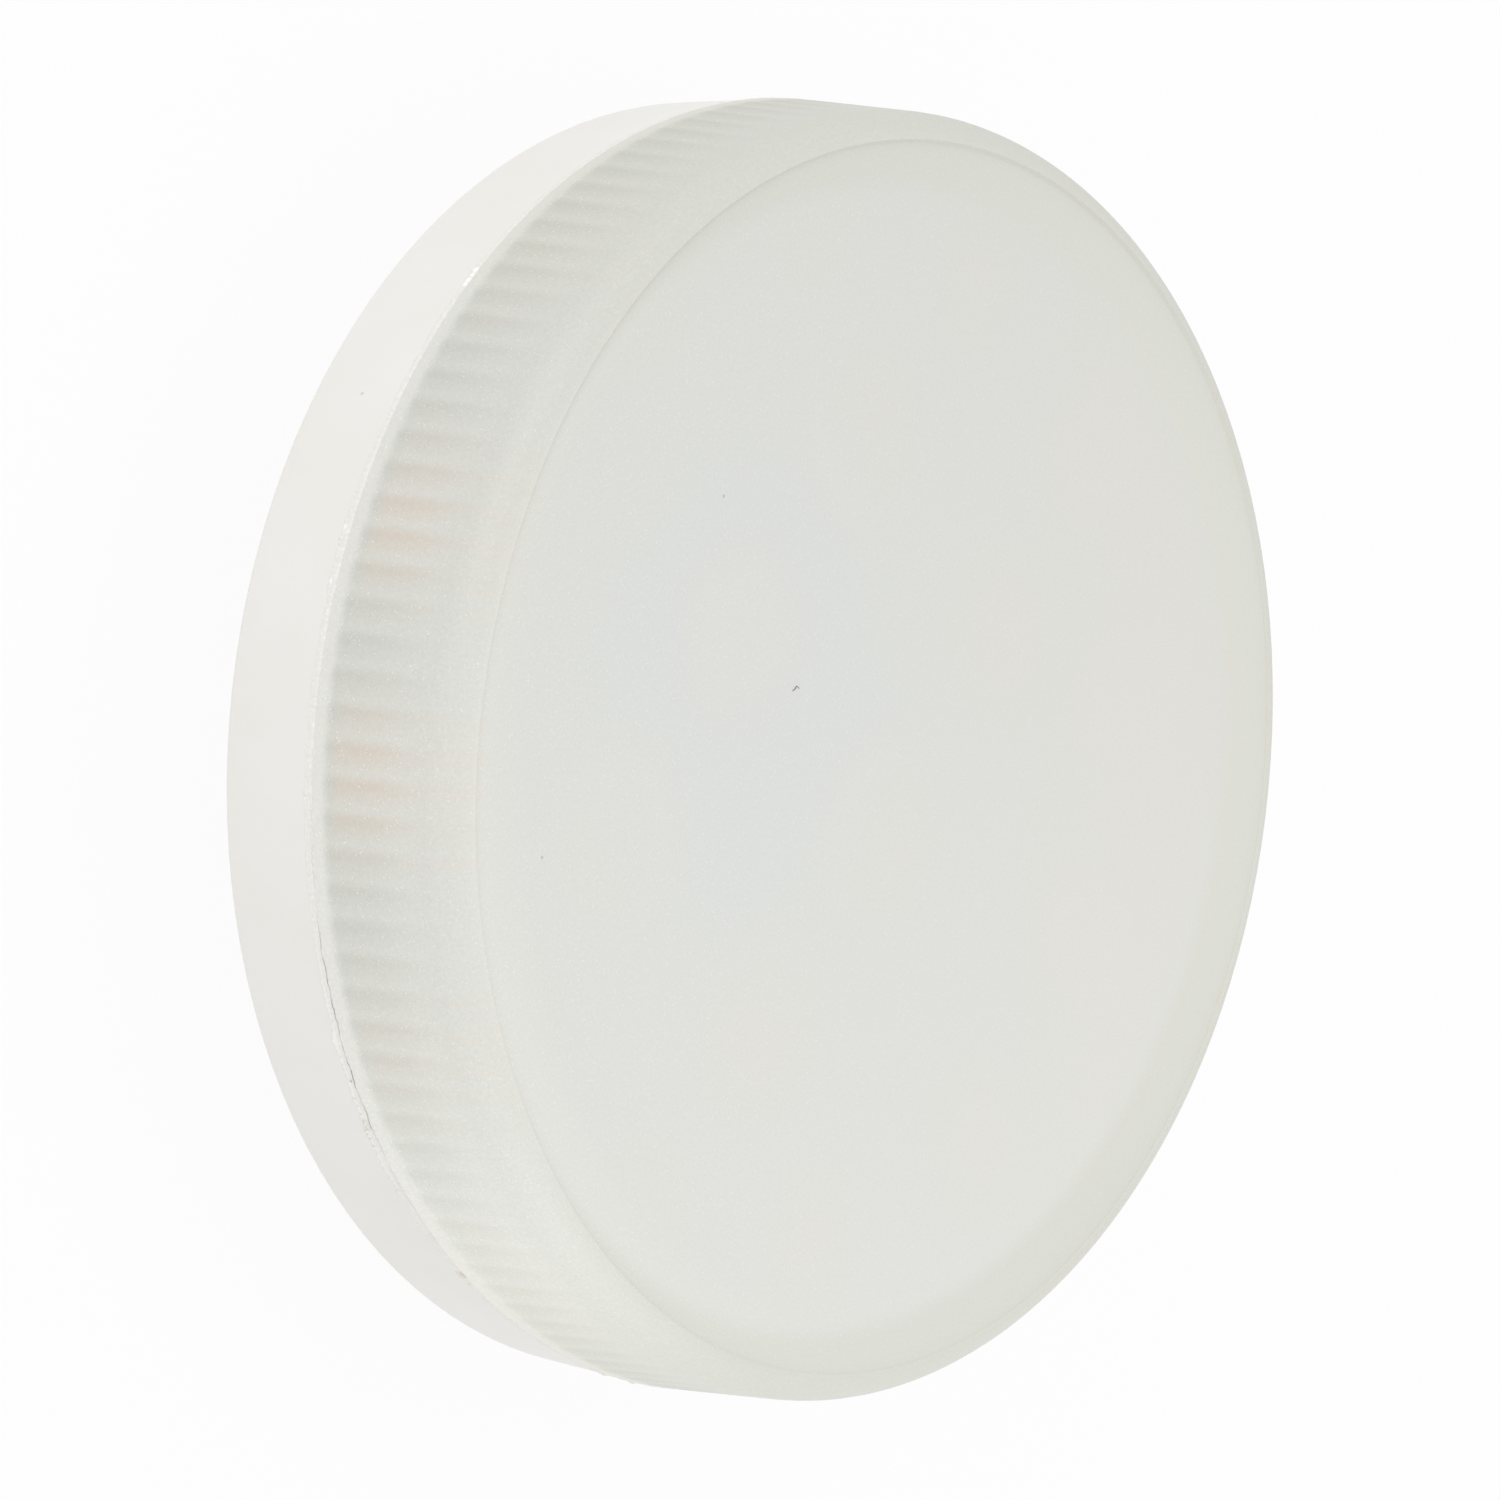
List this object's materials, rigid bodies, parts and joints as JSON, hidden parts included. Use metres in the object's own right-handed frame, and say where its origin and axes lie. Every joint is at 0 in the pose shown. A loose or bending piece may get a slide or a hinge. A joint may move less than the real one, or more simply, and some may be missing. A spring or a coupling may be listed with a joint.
{
  "type": "led disc lamp",
  "caption": "Flat round LED lamp with a frosted fluted diffuser over a white housing, and a rear boss with twist-lock contact pins.",
  "frame": {"origin": "centre of the boss's end face, on which the lamp lies", "axes": "+Z along the lamp's axis from the boss to the lit face; +X through contact pin a"},
  "size_m": [0.0752, 0.0752, 0.0264],
  "materials": {
    "housing_white": "satin moulded plastic, white, plain",
    "diffuser_frost": "frosted translucent plastic, fine sparkle grain, fluted inside",
    "bead_clear": "ragged glossy bead in the seam",
    "spreader_aluminium": "pressed sheet, plain",
    "board_white": "metal-cored board with white solder mask",
    "led_case": "white moulded case",
    "led_phosphor": "yellow gel",
    "screw_steel": "zinc-plated steel",
    "pin_nickel": "nickel-plated brass, turned",
    "tag_brass": "stamped brass",
    "driver_laminate": "green glass-cloth laminate",
    "capacitor_sleeve": "dark shrunk sleeve over an aluminium can",
    "ferrite": "sintered, dark grey",
    "copper_winding": "enamelled copper wire",
    "resistor_lacquer": "grey-green lacquer",
    "chip_epoxy": "black moulded epoxy with tinned leads",
    "film_case": "yellow moulded box",
    "varistor_coat": "blue dipped coat",
    "lead_white": "white insulation",
    "lead_red": "red insulation",
    "lead_black": "black insulation",
    "solder": "bright solder"
  },
  "bodies": {
    "root": {"housing": "housing_white", "diffuser": "diffuser_frost", "seam_bead": "bead_clear", "heat_spreader": "spreader_aluminium", "led_board": "board_white", "led_phosphor": "led_phosphor", "board_screws": "screw_steel", "contact_pin_a": "pin_nickel", "contact_pin_b": "pin_nickel", "pin_tag_a": "tag_brass", "pin_tag_b": "tag_brass", "driver_board": "driver_laminate", "bulk_capacitor": "capacitor_sleeve", "output_capacitor": "capacitor_sleeve", "inductor_core": "ferrite", "inductor_winding": "copper_winding", "fusible_resistor": "resistor_lacquer", "bridge_rectifier": "chip_epoxy", "driver_chip": "chip_epoxy", "freewheel_diode": "chip_epoxy", "film_capacitor": "film_case", "varistor": "varistor_coat", "chip_resistors": "chip_epoxy", "mains_lead_a": "lead_white", "mains_lead_b": "lead_white", "led_lead_plus": "lead_red", "led_lead_minus": "lead_black", "solder_joints": "solder", "led_01": "led_case", "led_02": "led_case", "led_03": "led_case", "led_04": "led_case", "led_05": "led_case", "led_06": "led_case", "led_07": "led_case", "led_08": "led_case", "led_09": "led_case", "led_10": "led_case", "led_11": "led_case", "led_12": "led_case", "led_13": "led_case", "led_14": "led_case", "led_15": "led_case", "led_16": "led_case", "led_17": "led_case", "led_18": "led_case"}
  },
  "joints": []
}
